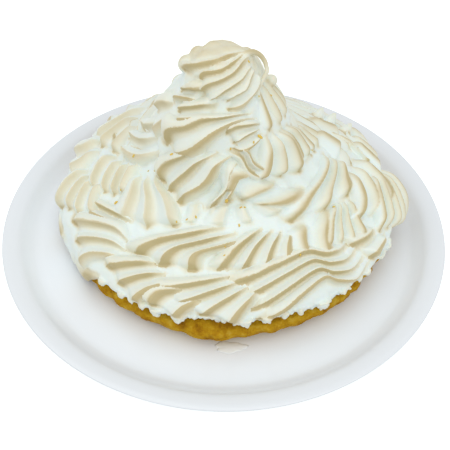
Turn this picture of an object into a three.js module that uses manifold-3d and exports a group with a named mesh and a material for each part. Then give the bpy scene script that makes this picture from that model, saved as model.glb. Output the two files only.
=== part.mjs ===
// Lemon meringue pie on its round plate, in millimetres, +Z up.
// The origin is the plate's centre, on the surface that it stands on, and -Y is the front.
// Three solids: the plate, the crust with its crimped rim, and the piped meringue.

import * as THREE from "three";
import { mergeVertices } from "three/addons/utils/BufferGeometryUtils.js";
import Module from "manifold-3d";

const wasm = await Module();
wasm.setup();

// ---------------------------------------------------------------- driving dimensions

const PLATE_RADIUS = 152.5;
const PLATE_HEIGHT = 15.5;
const PLATE_FLOOR = 6.5; // top of the plate's flat middle
const FLOOR_RADIUS = 128.9; // where the floor ends and the slope to the lip starts
const LIP_RADIUS = 140.3; // inner edge of the lip
const FOOT_INNER_RADIUS = 90;
const FOOT_OUTER_RADIUS = 98;
const FOOT_HEIGHT = 1.6;
const PLATE_SEGMENTS = 52;

const GAP = 0.3; // clearance between pieces that rest on each other
const PIE_X = 4; // the pie stands a little behind the plate's centre
const PIE_Y = 14;

const CRUST_BASE_RADIUS = 107;
const CRUST_RADIUS = 118; // widest point of the rim
const CRUST_TOP = 23.6;
const CRUST_BOTTOM = PLATE_FLOOR + GAP;
const RIM_INNER_RADIUS = 109; // the crimps start outside this radius
const CRIMPS = 44;
const CRIMP_DEPTH = 2.4; // how far a crimp's hollow lies inside the rim
const CRIMP_DROP = 1.3; // how far it lies below the rim's top
const CRIMP_SLANT = 0.75; // radians by which a crimp turns from one ring to the next
const SEGMENTS_PER_CRIMP = 3;
const CRUST_BULGES = [
  // azimuth, half width in degrees, size: where the crust is wider or narrower than its circle
  [-6, 8, 3.4],
  [-62, 12, -2.5],
  [26, 16, -1.2],
  [60, 26, -4.5],
  [112, 20, -6],
  [146, 18, -7],
];
const BULGE_FROM = 60; // radii between which a bulge grows to its full size
const BULGE_TO = 105;
const ROOM_SEGMENTS = 80; // of the hollow that the crust leaves in the meringue
const ROOM_GROWTH = 1.8; // its clearance, in gaps

// The meringue's skin is a turned profile with a leaning axis.
const HEM_AXIS_X = 4; // the pile's axis at the hem
const PEAK_AXIS_X = -2.5; // and in the mound
const LEAN_FROM = 30; // heights between which the axis moves across
const LEAN_TO = 105;
const SKIN_PROFILE = [
  // radius, height: hem, shoulder, cone, neck, mound, peak
  [109, 18.5],
  [116, 24],
  [118.5, 30],
  [113.5, 37.5],
  [95, 48],
  [73, 60],
  [53.5, 74],
  [43, 95],
  [38.5, 106],
  [26.5, 121],
  [23.5, 128.5],
  [18, 134.5],
  [9.5, 138.5],
  [0, 139.5],
];
const SKIN_SAMPLES = 400;

// At the left the hem hangs down over the crust, and at the right front it is drawn in.
// A span holds azimuths in degrees, and the change fades out over as many degrees beyond it.
const DRAPE_SPAN = [-105, -53];
const DRAPE_FADE = 9;
const DRAPE_REACH = 28; // arc length that it takes in
const DRAPE_DROP = 12;
const DRAPE_PUSH = 4; // outwards
const DRAPE_FLATTENING = 0.6; // share of the relief that it loses
const TUCKS = [
  { span: [4, 72], fade: 26, reach: 34, depth: 4 }, // depth is inwards
  { span: [102, 158], fade: 18, reach: 80, depth: 9.5 },
];

// Lifts are measured from the skin along its normal, outwards.
const CORE_LIFT = -2; // the plain body under the piped strokes
const CAP_RISE = 4; // how much further out the body stands on top of the cap
const CAP_FROM = 160; // arcs between which it comes out
const CAP_TO = 174;
const CREST_LIFT = 4; // a stroke's ridges
const FLUTE_DEPTH = 4.3; // from a ridge down into the groove below it
const LOBE_DEPTH = 5.4; // the same in a lobed stroke
const EDGE_LIFT = -7; // where a stroke's outline dives into the core
const BASE_LIFT = -11; // a stroke's buried underside
const UPPER_MARGIN = 0.85; // a stroke's side above its first ridge, in ridge spacings
const LOWER_MARGIN = 0.55; // and below its last
const FLUTE_LEAN = 0.05; // how far a ridge tips over the groove below it, in ridge spacings
const LOBE_LEAN = 0.1; // the same in a lobed stroke
const FLUTE_FLOOR = 0.4; // where a groove is deepest, from one ridge down to the next
const LOBE_SKEW = 0.75;
const TIP_NOTCH = 0.04; // how far a groove is cut back at the blunt end, of the length
const TIP_SCATTER = 0.05; // how unevenly the ridges start
const TIP_REACH = 0.1; // a stroke's buried start, beyond its visible tip
const TAIL_REACH = 0.06; // and its buried end
const TIP_ROUNDING = 0.24; // share of the length over which the tip rises
const TAIL_ROUNDING = 0.35; // and over which the tail comes down
const TAIL_DROP = 0.1; // height that a ridge loses from tip to tail
const LONG_ROWS = [0, 0.1, 0.28, 0.55, 0.82, 1]; // stations along a long stroke, tip to tail
const SHORT_ROWS = [0, 0.12, 0.42, 0.78, 1];
const BACK_ROWS = [0, 0.18, 0.6, 1];
const BACK_RIDGES = 3;
const BACK_LIFT = -3;
const HEM_POINTS = 16; // small points of meringue that hang over the rim
const HEM_FROM = -44; // azimuths between which they hang
const HEM_TO = 92;
const HEM_RADIUS = 4;
const HEM_SIDES = 4;
const HEM_ROOT_ARC = 16;
const HEM_TIP_ARC = 8;
const HEM_TIP_LIFT = 2.5;
const HOOK_RADIUS = 1.8;
const HOOK_STATIONS = [
  // azimuth, arc, lift
  [70, 175, 1],
  [92, 170, 4],
  [96, 163, 4.2],
  [88, 157, 3],
  [70, 156, 1.5],
  [56, 153, 1],
  [52, 147, 0],
];
const KNOB = [94, 146, 1.5]; // azimuth, arc, lift of the round end beside the cap
const KNOB_RADIUS = 4;
const SPIKES = [
  // azimuth, arc: pointed ends that stand up along the back right edge
  [129, 59],
  [126, 48],
  [119, 40],
];
const SPIKE_RADIUS = 7;
const SPIKE_SIDES = 5;
const SPIKE_ROOT = -3; // lifts of its root and its tip
const SPIKE_TIP = 8;
const SPIKE_SLANT = 4; // how far the tip hangs over outwards, as arc length
const SCALLOPS = [
  // x, y, z, radius: bumps on the cap's far edge
  [-24, 19, 127.5, 6],
  [-17, 21, 132.5, 6],
  [-8, 22, 135, 6.5],
  [2, 22, 135, 6],
  [11, 20, 133, 6],
];
const CORE_SEGMENTS = 26;
const CORE_RINGS = 13;

// ---------------------------------------------------------------- small helpers

const lerp = THREE.MathUtils.lerp;
const radians = THREE.MathUtils.degToRad;

/** A repeatable draw between -1 and 1 for each whole number. */
function scatter(index) {
  const wave = Math.sin(index * 12.9898 + 4.1) * 43758.5453;
  return 2 * (wave - Math.floor(wave)) - 1;
}

/** The geometry as a solid, with the vertices that its faces share merged. */
function toSolid(geometry) {
  const bare = geometry.clone();
  bare.deleteAttribute("normal");
  bare.deleteAttribute("uv");
  const merged = mergeVertices(bare, 1e-4);
  return new wasm.Manifold(
    new wasm.Mesh({
      numProp: 3,
      vertProperties: merged.attributes.position.array,
      triVerts: new Uint32Array(merged.index.array),
    }),
  );
}

/** The largest closed body of a solid, without loose scraps and sealed pockets. */
function mainBody(solid) {
  const bodies = solid.decompose();
  return bodies.reduce((largest, body) => (body.volume() > largest.volume() ? body : largest));
}

/** A solid as a geometry again. */
function toGeometry(solid) {
  const mesh = solid.getMesh();
  const geometry = new THREE.BufferGeometry();
  const positions = new THREE.BufferAttribute(mesh.vertProperties, mesh.numProp);
  geometry.setAttribute("position", positions);
  geometry.setIndex(new THREE.BufferAttribute(mesh.triVerts, 1));
  geometry.computeVertexNormals();
  return geometry;
}

/** A profile of [radius, height] turned about the Z axis, with angle 0 at the front (-Y). */
function turned(profile, segments) {
  const points = profile.map(([radius, height]) => new THREE.Vector2(radius, height));
  return new THREE.LatheGeometry(points, segments).rotateX(Math.PI / 2);
}

/** Moves every vertex of a geometry by a function that changes the vector it is given. */
function reshaped(geometry, move) {
  const position = geometry.attributes.position;
  const vertex = new THREE.Vector3();
  for (let i = 0; i < position.count; i += 1) {
    vertex.fromBufferAttribute(position, i);
    move(vertex);
    position.setXYZ(i, vertex.x, vertex.y, vertex.z);
  }
  return geometry;
}

/** One closed geometry from two grids of points, the upper one facing out. */
function closedSheet(upper, lower) {
  const rows = upper.length;
  const columns = upper[0].length;
  const points = [...upper.flat(), ...lower.flat()];
  const index = (layer, row, column) => (layer * rows + row) * columns + column;
  const faces = [];
  const quad = (a, b, c, d) => faces.push(a, b, c, a, c, d);
  for (let i = 0; i + 1 < rows; i += 1) {
    for (let j = 0; j + 1 < columns; j += 1) {
      quad(index(0, i, j), index(0, i, j + 1), index(0, i + 1, j + 1), index(0, i + 1, j));
      quad(index(1, i, j), index(1, i + 1, j), index(1, i + 1, j + 1), index(1, i, j + 1));
    }
    const last = columns - 1;
    quad(index(0, i, 0), index(0, i + 1, 0), index(1, i + 1, 0), index(1, i, 0));
    quad(index(0, i + 1, last), index(0, i, last), index(1, i, last), index(1, i + 1, last));
  }
  for (let j = 0; j + 1 < columns; j += 1) {
    const last = rows - 1;
    quad(index(0, 0, j + 1), index(0, 0, j), index(1, 0, j), index(1, 0, j + 1));
    quad(index(0, last, j), index(0, last, j + 1), index(1, last, j + 1), index(1, last, j));
  }
  const geometry = new THREE.BufferGeometry().setFromPoints(points);
  geometry.setIndex(faces);
  return geometry;
}

// ---------------------------------------------------------------- plate

function plateGeometry() {
  return turned(
    [
      [0, FOOT_HEIGHT],
      [FOOT_INNER_RADIUS - 2, FOOT_HEIGHT],
      [FOOT_INNER_RADIUS, 0],
      [FOOT_OUTER_RADIUS, 0],
      [FOOT_OUTER_RADIUS + 2, FOOT_HEIGHT + 0.4],
      [FLOOR_RADIUS, 3.4],
      [LIP_RADIUS - 3, 6.4],
      [PLATE_RADIUS - 0.5, PLATE_HEIGHT - 1.9],
      [PLATE_RADIUS, PLATE_HEIGHT - 0.8],
      [PLATE_RADIUS - 1.4, PLATE_HEIGHT],
      [LIP_RADIUS + 4, PLATE_HEIGHT - 0.9],
      [LIP_RADIUS, PLATE_HEIGHT - 2.4],
      [LIP_RADIUS - 3.4, PLATE_HEIGHT - 5.3],
      [FLOOR_RADIUS + 4, PLATE_FLOOR + 1.2],
      [FLOOR_RADIUS, PLATE_FLOOR],
      [0, PLATE_FLOOR],
    ],
    PLATE_SEGMENTS,
  );
}

// ---------------------------------------------------------------- crust

/** Outer profile of the crust, flat underneath and flat under the meringue. */
function crustProfile(grow) {
  return [
    [0, CRUST_BOTTOM - grow],
    [CRUST_BASE_RADIUS + grow, CRUST_BOTTOM - grow],
    [CRUST_RADIUS - 3.8 + grow, CRUST_BOTTOM + 5],
    [CRUST_RADIUS - 0.7 + grow, CRUST_BOTTOM + 9],
    [CRUST_RADIUS + grow, CRUST_TOP - 4.2],
    [CRUST_RADIUS - 2.6 + grow, CRUST_TOP - 1 + grow],
    [RIM_INNER_RADIUS, CRUST_TOP + grow],
    [0, CRUST_TOP + grow],
  ];
}

/** How deep the crimp is at an azimuth: 0 on a fold's back, 1 in the hollow beside it. */
function crimpDepth(azimuth, height) {
  const turn = CRIMPS * azimuth + (CRIMP_SLANT * (height - CRUST_BOTTOM)) / 4;
  const uneven = 0.75 + 0.25 * Math.sin(5 * azimuth + 1) * Math.sin(11 * azimuth);
  return (uneven * (1 - Math.cos(turn))) / 2;
}

/** How far the crust stands outside its circle, at an azimuth in radians. */
function bulge(azimuth) {
  const turn = THREE.MathUtils.radToDeg(azimuth);
  const at = ([middle, width, size]) => size * Math.exp(-(((turn - middle) / width) ** 2));
  return CRUST_BULGES.reduce((sum, one) => sum + at(one), 0);
}

/** Pushes a point of the crust out by the bulge, less an inset. */
function pushOut(vertex, inset) {
  const radius = Math.hypot(vertex.x, vertex.y);
  if (radius === 0) {
    return;
  }
  const share = THREE.MathUtils.smoothstep(radius, BULGE_FROM, BULGE_TO);
  const outward = share * bulge(Math.atan2(vertex.x, -vertex.y)) - inset;
  const scale = (radius + outward) / radius;
  vertex.set(vertex.x * scale, vertex.y * scale, vertex.z);
}

function crustGeometry() {
  const plain = turned(crustProfile(0), CRIMPS * SEGMENTS_PER_CRIMP);
  return reshaped(plain, (vertex) => {
    const radius = Math.hypot(vertex.x, vertex.y);
    const rim = THREE.MathUtils.smoothstep(radius, RIM_INNER_RADIUS, CRUST_RADIUS - 4);
    const depth = rim * crimpDepth(Math.atan2(vertex.x, -vertex.y), vertex.z);
    pushOut(vertex, CRIMP_DEPTH * depth);
    vertex.z -= CRIMP_DROP * depth;
  });
}

/** The room that the meringue leaves for the crust. */
function crustRoom() {
  const corner = 1 / Math.cos(Math.PI / ROOM_SEGMENTS);
  const room = turned(crustProfile(GAP * ROOM_GROWTH), ROOM_SEGMENTS).scale(corner, corner, 1);
  return reshaped(room, (vertex) => pushOut(vertex, 0));
}

// ---------------------------------------------------------------- meringue

const skinCurve = new THREE.SplineCurve(
  SKIN_PROFILE.map(([radius, height]) => new THREE.Vector2(radius, height)),
);
skinCurve.arcLengthDivisions = SKIN_SAMPLES;
const SKIN_LENGTH = skinCurve.getLength();

/** X of the leaning axis at a height. */
function axisX(height) {
  return lerp(HEM_AXIS_X, PEAK_AXIS_X, THREE.MathUtils.smoothstep(height, LEAN_FROM, LEAN_TO));
}

/** Radius and height of the skin at an arc length up from the hem, lifted along its normal. */
function skinProfile(arc, lift) {
  const share = THREE.MathUtils.clamp(arc / SKIN_LENGTH, 0, 1);
  const point = skinCurve.getPointAt(share);
  const along = skinCurve.getTangentAt(share);
  return [point.x + lift * along.y, point.y - lift * along.x];
}

/** How much of a change in the hem a place takes: 1 within the span, 0 beyond its fade. */
function hemShare(azimuth, arc, [from, to], fade, reach) {
  const { euclideanModulo, smoothstep } = THREE.MathUtils;
  const turn = euclideanModulo(azimuth + 180, 360) - 180;
  const around = smoothstep(turn, from - fade, from) * (1 - smoothstep(turn, to, to + fade));
  return around * (1 - smoothstep(arc, 0, reach));
}

/** Point of the skin at an azimuth in degrees (0 at the front, positive towards +X). */
function skinPoint(azimuth, arc, lift) {
  const drape = hemShare(azimuth, arc, DRAPE_SPAN, DRAPE_FADE, DRAPE_REACH);
  const inward = TUCKS.map((one) => one.depth * hemShare(azimuth, arc, one.span, one.fade, one.reach));
  const tuck = inward.reduce((sum, depth) => sum + depth, 0);
  const [radius, height] = skinProfile(arc, lift * (1 - DRAPE_FLATTENING * drape));
  const reach = radius + DRAPE_PUSH * drape - tuck;
  const angle = radians(azimuth);
  return new THREE.Vector3(
    axisX(height) + reach * Math.sin(angle),
    PIE_Y - reach * Math.cos(angle),
    height - DRAPE_DROP * drape,
  );
}

/** The plain body under the strokes. */
function coreSolid() {
  const profile = [[0, SKIN_PROFILE[0][1]]];
  for (let i = 0; i < CORE_RINGS; i += 1) {
    profile.push([1, i / CORE_RINGS]);
  }
  profile.push([0, SKIN_PROFILE.at(-1)[1] + CORE_LIFT + CAP_RISE]);
  const onSkin = (vertex) => {
    if (Math.hypot(vertex.x, vertex.y) < 0.5) {
      vertex.set(axisX(vertex.z), PIE_Y, vertex.z);
      return;
    }
    const azimuth = THREE.MathUtils.radToDeg(Math.atan2(vertex.x, -vertex.y));
    const arc = vertex.z * SKIN_LENGTH;
    const rise = CAP_RISE * THREE.MathUtils.smoothstep(arc, CAP_FROM, CAP_TO);
    vertex.copy(skinPoint(azimuth, arc, CORE_LIFT + rise));
  };
  return toSolid(reshaped(turned(profile, CORE_SEGMENTS), onSkin));
}

/**
 * One piped stroke: ridges that run side by side on the skin, from their blunt ends to their
 * drawn-out ones. They are spread evenly over two or more paths, each of points of [azimuth, arc].
 */
function stroke(options, ...paths) {
  const rows = paths[0].length > 3 ? LONG_ROWS : SHORT_ROWS;
  return { lobed: false, lift: 0, seed: 0, taper: 0, tail: TAIL_ROUNDING, rows, ...options, paths };
}

/** Point of a path at a share of its length, carried on straight beyond its ends. */
function pathPoint(path, share) {
  const spans = path.length - 1;
  const inside = THREE.MathUtils.clamp(share, 0, 1);
  const point = new THREE.SplineCurve(path.map((p) => new THREE.Vector2(...p))).getPoint(inside);
  const [from, to] = share < 0 ? path : path.slice(-2);
  const beyond = (share - inside) * spans;
  return [point.x + beyond * (to[0] - from[0]), point.y + beyond * (to[1] - from[1])];
}

/** How late a stroke starts at a place across its ridges, as a share of its length. */
function lateStart(s, across) {
  const seed = s.paths[0][0][0] + s.paths.at(-1)[0][1];
  const before = Math.floor(across);
  return TIP_SCATTER * lerp(scatter(3 * before + seed), scatter(3 * before + 3 + seed), across - before);
}

/** Azimuth and arc on a stroke, at a share of its length and a place across its ridges. */
function strokePlace(s, share, across) {
  const along = lerp(lateStart(s, across) - TIP_REACH, 1 + TAIL_REACH, share);
  const spans = s.paths.length - 1;
  const turn = (across / (s.ridges - 1)) * spans;
  const before = THREE.MathUtils.clamp(Math.floor(turn), 0, spans - 1);
  const [a, b] = [pathPoint(s.paths[before], along), pathPoint(s.paths[before + 1], along)];
  return [lerp(a[0], b[0], turn - before), lerp(a[1], b[1], turn - before)];
}

/** Height of a stroke's middle along its length, from 0 at its ends to 1. */
function strokeRise(share, tailRounding) {
  const tip = Math.sin((Math.PI / 2) * Math.min(share / TIP_ROUNDING, 1)) ** 0.8;
  const tail = THREE.MathUtils.smoothstep(1 - share, 0, tailRounding);
  return tip * tail * (1 - TAIL_DROP * share ** 2);
}

/** A flute's depth of 0 to 1 between two ridges: a steep drop and a long rise to the next. */
function fluteGroove(below) {
  if (below < FLUTE_FLOOR) {
    return Math.sin(((Math.PI / 2) * below) / FLUTE_FLOOR);
  }
  const left = (1 - below) / (1 - FLUTE_FLOOR);
  return 0.5 * Math.sin((Math.PI / 2) * left) + 0.25 * (1 - Math.cos(Math.PI * left));
}

/** The narrower groove between two rounded lobes. */
function lobeGroove(below) {
  return Math.sin(Math.PI * below ** LOBE_SKEW) ** 2.5;
}

/** Point of a stroke's upper face. */
function strokePoint(s, share, across) {
  const outer = s.ridges - 1;
  const nearest = THREE.MathUtils.clamp(Math.round(across), 0, outer);
  const beyond = Math.max(-across / UPPER_MARGIN, (across - outer) / LOWER_MARGIN, 0);
  const below = across - Math.floor(across);
  const shape = s.lobed ? lobeGroove(below) : fluteGroove(below);
  const groove = beyond > 0 ? 0 : shape;
  const depth = (s.lobed ? LOBE_DEPTH : FLUTE_DEPTH) * (1 - s.taper * share);
  const rise = strokeRise(share, s.tail) * Math.sqrt(Math.max(1 - beyond ** 2, 0));
  const uneven = 1 + 0.08 * scatter(nearest + 10 * s.seed + s.paths[0][0][0]);
  const height = (CREST_LIFT + s.lift - EDGE_LIFT) * uneven - depth * groove;
  const notched = TIP_NOTCH * groove + share * (1 - TIP_NOTCH * groove);
  const lean = (s.lobed ? LOBE_LEAN : FLUTE_LEAN) * (1 - groove) * rise;
  const [azimuth, arc] = strokePlace(s, notched, across + lean);
  return skinPoint(azimuth, arc, EDGE_LIFT + height * rise);
}

/** Places across a stroke: both margins, and for each ridge its crest and the groove below it. */
function strokeColumns(s) {
  const outer = s.ridges - 1;
  const columns = [-UPPER_MARGIN];
  for (let ridge = 0; ridge < outer; ridge += 1) {
    columns.push(ridge, ridge + FLUTE_FLOOR);
  }
  return [...columns, outer, outer + LOWER_MARGIN];
}

function strokeSolid(s) {
  const columns = strokeColumns(s);
  const upper = s.rows.map((row) => columns.map((column) => strokePoint(s, row, column)));
  const lower = s.rows.map((row) =>
    columns.map((column) => {
      const [azimuth, arc] = strokePlace(s, row, column);
      return skinPoint(azimuth, arc, BASE_LIFT);
    }),
  );
  return toSolid(closedSheet(upper, lower));
}

// The strokes that show from the front, from the hem up to the peak.
const FRONT_STROKES = [
  // hem, from the back left round to the back right
  stroke({ ridges: 3 }, [[-112, 34], [-122, 44], [-140, 52]], [[-97, 62], [-106, 68], [-118, 74]]),
  stroke({ ridges: 2 }, [[-107, 18], [-105, 32], [-110, 44]], [[-94, 27], [-95, 38], [-102, 50]]),
  stroke({ ridges: 4 }, [[-80, 18], [-86, 31], [-90, 45]], [[-64, 41], [-72, 48], [-77, 57]]),
  stroke({ ridges: 2, lift: -1.5 }, [[-68, 47], [-57, 55], [-44, 61]], [[-66, 41], [-56, 49], [-43, 55]]),
  stroke(
    { ridges: 3 },
    [[-66, 30], [-56, 44], [-47, 50], [-39, 46]],
    [[-54, 19], [-50, 28], [-44, 35], [-38, 38]],
  ),
  stroke(
    { ridges: 2, lobed: true, lift: -4 },
    [[-76, 4], [-73, 12], [-70, 19]],
    [[-56, 3], [-53, 12], [-50, 20]],
  ),
  stroke({ ridges: 3 }, [[-43, 28], [-35, 38], [-26, 46]], [[-30, 19], [-26, 29], [-18, 39]]),
  stroke({ ridges: 2, lift: -1 }, [[-24, 20], [-22, 29], [-12, 37]], [[-17, 18], [-14, 25], [-7, 33]]),
  stroke({ ridges: 4 }, [[-23, 31], [-12, 39], [4, 48]], [[-1, 17], [3, 26], [10, 38]]),
  stroke(
    { ridges: 4 },
    [[4, 43], [18, 49], [31, 51], [38, 44], [45, 42], [55, 45]],
    [[13, 20], [23, 29], [32, 33], [36, 27], [44, 21], [56, 25]],
  ),
  stroke({ ridges: 2, lift: -1 }, [[50, 40], [57, 36], [64, 35]], [[53, 26], [58, 26], [65, 26]]),
  stroke(
    { ridges: 5, lobed: true, lift: 2 },
    [[65, 31], [77, 40], [91, 47]],
    [[76, 9], [86, 21], [98, 34]],
  ),
  stroke({ ridges: 3, lobed: true }, [[97, 26], [104, 35], [112, 46]], [[112, 12], [118, 22], [124, 34]]),
  // middle
  stroke(
    { ridges: 3, lift: 1 },
    [[-36, 45], [-29, 58], [-14, 70], [2, 78]],
    [[-15, 48], [-13, 57], [0, 65], [12, 70]],
  ),
  stroke({ ridges: 4 }, [[-3, 51], [6, 65], [20, 75]], [[22, 50], [25, 59], [30, 67]]),
  stroke({ ridges: 2, lobed: true }, [[31, 51], [33, 59], [38, 69]], [[38, 45], [42, 55], [54, 68]]),
  stroke({ ridges: 4, lobed: true }, [[41, 47], [50, 58], [62, 65]], [[56, 38], [60, 49], [69, 60]]),
  stroke(
    { ridges: 3, lobed: true, lift: 1 },
    [[61, 46], [72, 51], [86, 67]],
    [[77, 30], [87, 40], [97, 56]],
  ),
  stroke(
    { ridges: 3, lobed: true },
    [[38, 73], [52, 78], [78, 79], [93, 82]],
    [[68, 60], [74, 65], [84, 68], [91, 71]],
  ),
  stroke({ ridges: 4 }, [[-76, 49], [-86, 56], [-93, 67]], [[-62, 67], [-68, 77], [-74, 86]]),
  stroke({ ridges: 3 }, [[-51, 57], [-56, 72], [-66, 85]], [[-28, 70], [-37, 83], [-58, 92]]),
  stroke(
    { ridges: 2, lobed: true, lift: -4 },
    [[-19, 75], [-17, 82], [-18, 91]],
    [[-9, 77], [-8, 83], [-6, 91]],
  ),
  stroke(
    { ridges: 3, lobed: true, lift: -3 },
    [[-4, 76], [-2, 84], [3, 92]],
    [[27, 79], [22, 84], [18, 90]],
  ),
  stroke({ ridges: 2, lobed: true }, [[99, 64], [103, 74], [108, 86]], [[114, 55], [117, 68], [122, 82]]),
  stroke({ ridges: 2, lobed: true }, [[97, 39], [102, 46], [108, 56]], [[105, 48], [108, 57], [112, 67]]),
  // foot of the mound
  stroke({ ridges: 3, lift: 1 }, [[-112, 84], [-98, 100], [-66, 126]], [[-92, 76], [-76, 89], [-57, 111]]),
  stroke(
    { ridges: 3, lift: 2 },
    [[-48, 92], [-45, 104], [-30, 116], [-12, 124]],
    [[-27, 89], [-13, 104], [-4, 116], [14, 121]],
  ),
  stroke(
    { ridges: 2, lift: 1 },
    [[-7, 89], [2, 100], [6, 111], [16, 116]],
    [[1, 92], [7, 101], [12, 108], [21, 110]],
  ),
  stroke(
    { ridges: 3, lobed: true, lift: 1 },
    [[3, 97], [9, 107], [24, 107]],
    [[20, 87], [35, 84], [53, 87]],
  ),
  stroke(
    { ridges: 2, lift: 1 },
    [[28, 102], [19, 109], [14, 119], [2, 123]],
    [[31, 106], [23, 113], [19, 122], [7, 127]],
  ),
  stroke(
    { ridges: 3, lobed: true, lift: 1 },
    [[28, 102], [36, 110], [46, 129]],
    [[58, 94], [63, 108], [59, 125]],
  ),
  stroke(
    { ridges: 2, lobed: true, lift: -1 },
    [[66, 95], [70, 107], [64, 125]],
    [[77, 92], [80, 105], [74, 122]],
  ),
  stroke(
    { ridges: 3, lobed: true, lift: -2 },
    [[86, 88], [89, 100], [84, 117]],
    [[104, 81], [107, 92], [106, 106]],
  ),
  stroke(
    { ridges: 4, lobed: true, lift: -3.5 },
    [[50, 127], [56, 142], [66, 160]],
    [[94, 121], [98, 138], [104, 156]],
  ),
  // mound
  stroke(
    { ridges: 2, lift: -1 },
    [[-92, 123], [-80, 133], [-60, 142]],
    [[-76, 114], [-67, 124], [-55, 135]],
  ),
  stroke(
    { ridges: 2, lift: 1 },
    [[-54, 115], [-50, 127], [-34, 133], [-19, 140], [6, 143], [28, 143], [46, 140]],
    [[-40, 115], [-30, 120], [-17, 129], [-4, 136], [12, 140], [30, 140], [50, 135]],
  ),
  stroke(
    { ridges: 3 },
    [[4, 135], [14, 137], [30, 136], [46, 133]],
    [[12, 128], [20, 131], [30, 132], [42, 131]],
    [[11, 124], [21, 124], [32, 127], [40, 129]],
  ),
  stroke(
    { ridges: 2 },
    [[-50, 140], [-40, 144], [-20, 149], [0, 151]],
    [[-46, 135], [-36, 138], [-24, 141], [-6, 143]],
  ),
  stroke(
    { ridges: 2 },
    [[-66, 149], [-50, 155], [-36, 157], [-20, 159]],
    [[-68, 143], [-55, 147], [-40, 150], [-26, 150]],
  ),
  // cap: ridges that run together where the strand is pulled off
  stroke(
    { ridges: 6, taper: 0.5, tail: 0.2 },
    [[-92, 158], [-62, 167], [-30, 174], [25, 179], [80, 176], [95, 167]],
    [[-42, 163], [-33, 167], [-5, 170], [30, 174], [75, 174], [93, 167]],
    [[-32, 156], [-21, 161], [-3, 164], [18, 167], [45, 171], [73, 171], [88, 166]],
    [[-23, 150], [-12, 154], [0, 158], [15, 161], [31, 163], [52, 166], [83, 165]],
    [[8, 153], [15, 156], [24, 157], [34, 158], [46, 162], [60, 164], [78, 164]],
    [[10, 148], [22, 149], [33, 151], [46, 154], [60, 158], [72, 163]],
  ),
];

/** A course of like strokes round the back, between two azimuths. */
function course(from, to, count, tipArc, tailArc, width, sweep, seed) {
  const pitch = (to - from) / count;
  return Array.from({ length: count }, (_, i) => {
    const azimuth = from + pitch * (i + 0.15 * scatter(seed + i));
    const low = tipArc + 3 * scatter(seed + 20 + i);
    const high = tailArc + 3 * scatter(seed + 40 + i);
    const middle = lerp(low, high, 0.5) + 3 * scatter(seed + 60 + i);
    const first = [
      [azimuth, low + 9],
      [azimuth + 0.35 * sweep, middle + 8],
      [azimuth + sweep, high],
    ];
    const last = [
      [azimuth + width, low - 5],
      [azimuth + width + 0.3 * sweep, middle - 3],
      [azimuth + width / 2 + sweep, high - 5],
    ];
    return stroke({ ridges: BACK_RIDGES, seed: seed + i, rows: BACK_ROWS, lift: BACK_LIFT }, first, last);
  });
}

const BACK_STROKES = [
  ...course(100, 240, 6, 16, 48, 14, 26, 1),
  ...course(92, 256, 5, 48, 82, 20, 40, 101),
  ...course(76, 285, 4, 82, 114, 32, 60, 201),
  ...course(100, 215, 2, 112, 136, 36, 80, 301),
  ...course(90, 190, 2, 138, 164, 40, 90, 401),
];

/** The strand that is pulled off the cap, with an eye of air under it. */
function hookSolid() {
  const path = new THREE.CatmullRomCurve3(HOOK_STATIONS.map((station) => skinPoint(...station)));
  const outline = new THREE.Shape().absarc(0, 0, HOOK_RADIUS, 0, 2 * Math.PI);
  const options = { extrudePath: path, steps: 8, curveSegments: 5, bevelEnabled: false };
  return toSolid(new THREE.ExtrudeGeometry(outline, options));
}

/** A closed cone from a root to a tip. */
function coneSolid(root, tip, radius, sides) {
  const length = root.distanceTo(tip);
  const cone = new THREE.ConeGeometry(radius, length, sides);
  cone.rotateX(Math.PI / 2).translate(0, 0, length / 2);
  const turn = new THREE.Matrix4().lookAt(tip, root, new THREE.Vector3(0, 0, 1));
  return toSolid(cone.applyMatrix4(turn).translate(root.x, root.y, root.z));
}

/** A point of meringue that hangs over the crust's rim. */
function hemPoint(i) {
  const pitch = (HEM_TO - HEM_FROM) / HEM_POINTS;
  const azimuth = HEM_FROM + pitch * (i + 0.4 * scatter(i));
  const root = skinPoint(azimuth, HEM_ROOT_ARC, CORE_LIFT - HEM_RADIUS);
  const tipArc = HEM_TIP_ARC + 2 * scatter(i + 90);
  const tip = skinPoint(azimuth + 2 * scatter(i + 50), tipArc, HEM_TIP_LIFT);
  return coneSolid(root, tip, HEM_RADIUS, HEM_SIDES);
}

function spike([azimuth, arc]) {
  const root = skinPoint(azimuth, arc, SPIKE_ROOT);
  return coneSolid(root, skinPoint(azimuth, arc - SPIKE_SLANT, SPIKE_TIP), SPIKE_RADIUS, SPIKE_SIDES);
}

function ball(centre, radius) {
  return toSolid(new THREE.SphereGeometry(radius, 8, 6).translate(...centre));
}

function meringueGeometry() {
  let solid = coreSolid();
  for (const one of [...BACK_STROKES, ...FRONT_STROKES]) {
    solid = solid.add(strokeSolid(one));
  }
  solid = solid.add(hookSolid()).add(ball(skinPoint(...KNOB), KNOB_RADIUS));
  for (const one of SPIKES) {
    solid = solid.add(spike(one));
  }
  for (const [x, y, z, radius] of SCALLOPS) {
    solid = solid.add(ball([x, y, z], radius));
  }
  for (let i = 0; i < HEM_POINTS; i += 1) {
    solid = solid.add(hemPoint(i));
  }
  const room = toSolid(crustRoom().translate(PIE_X, PIE_Y, 0));
  return toGeometry(mainBody(solid.subtract(room)));
}

// ---------------------------------------------------------------- assembly

function piece(name, geometry, color, roughness) {
  const material = new THREE.MeshStandardMaterial({ color, roughness, metalness: 0 });
  const mesh = new THREE.Mesh(geometry, material);
  mesh.name = name;
  return mesh;
}

const plate = piece("plate", plateGeometry(), 0xe7ecec, 0.25);

const crust = piece("crust", crustGeometry(), 0xb98a22, 0.75);
crust.position.set(PIE_X, PIE_Y, 0);

const meringue = piece("meringue", meringueGeometry(), 0xefe6cc, 0.6);

const pie = new THREE.Group();
pie.add(plate, crust, meringue);

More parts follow.
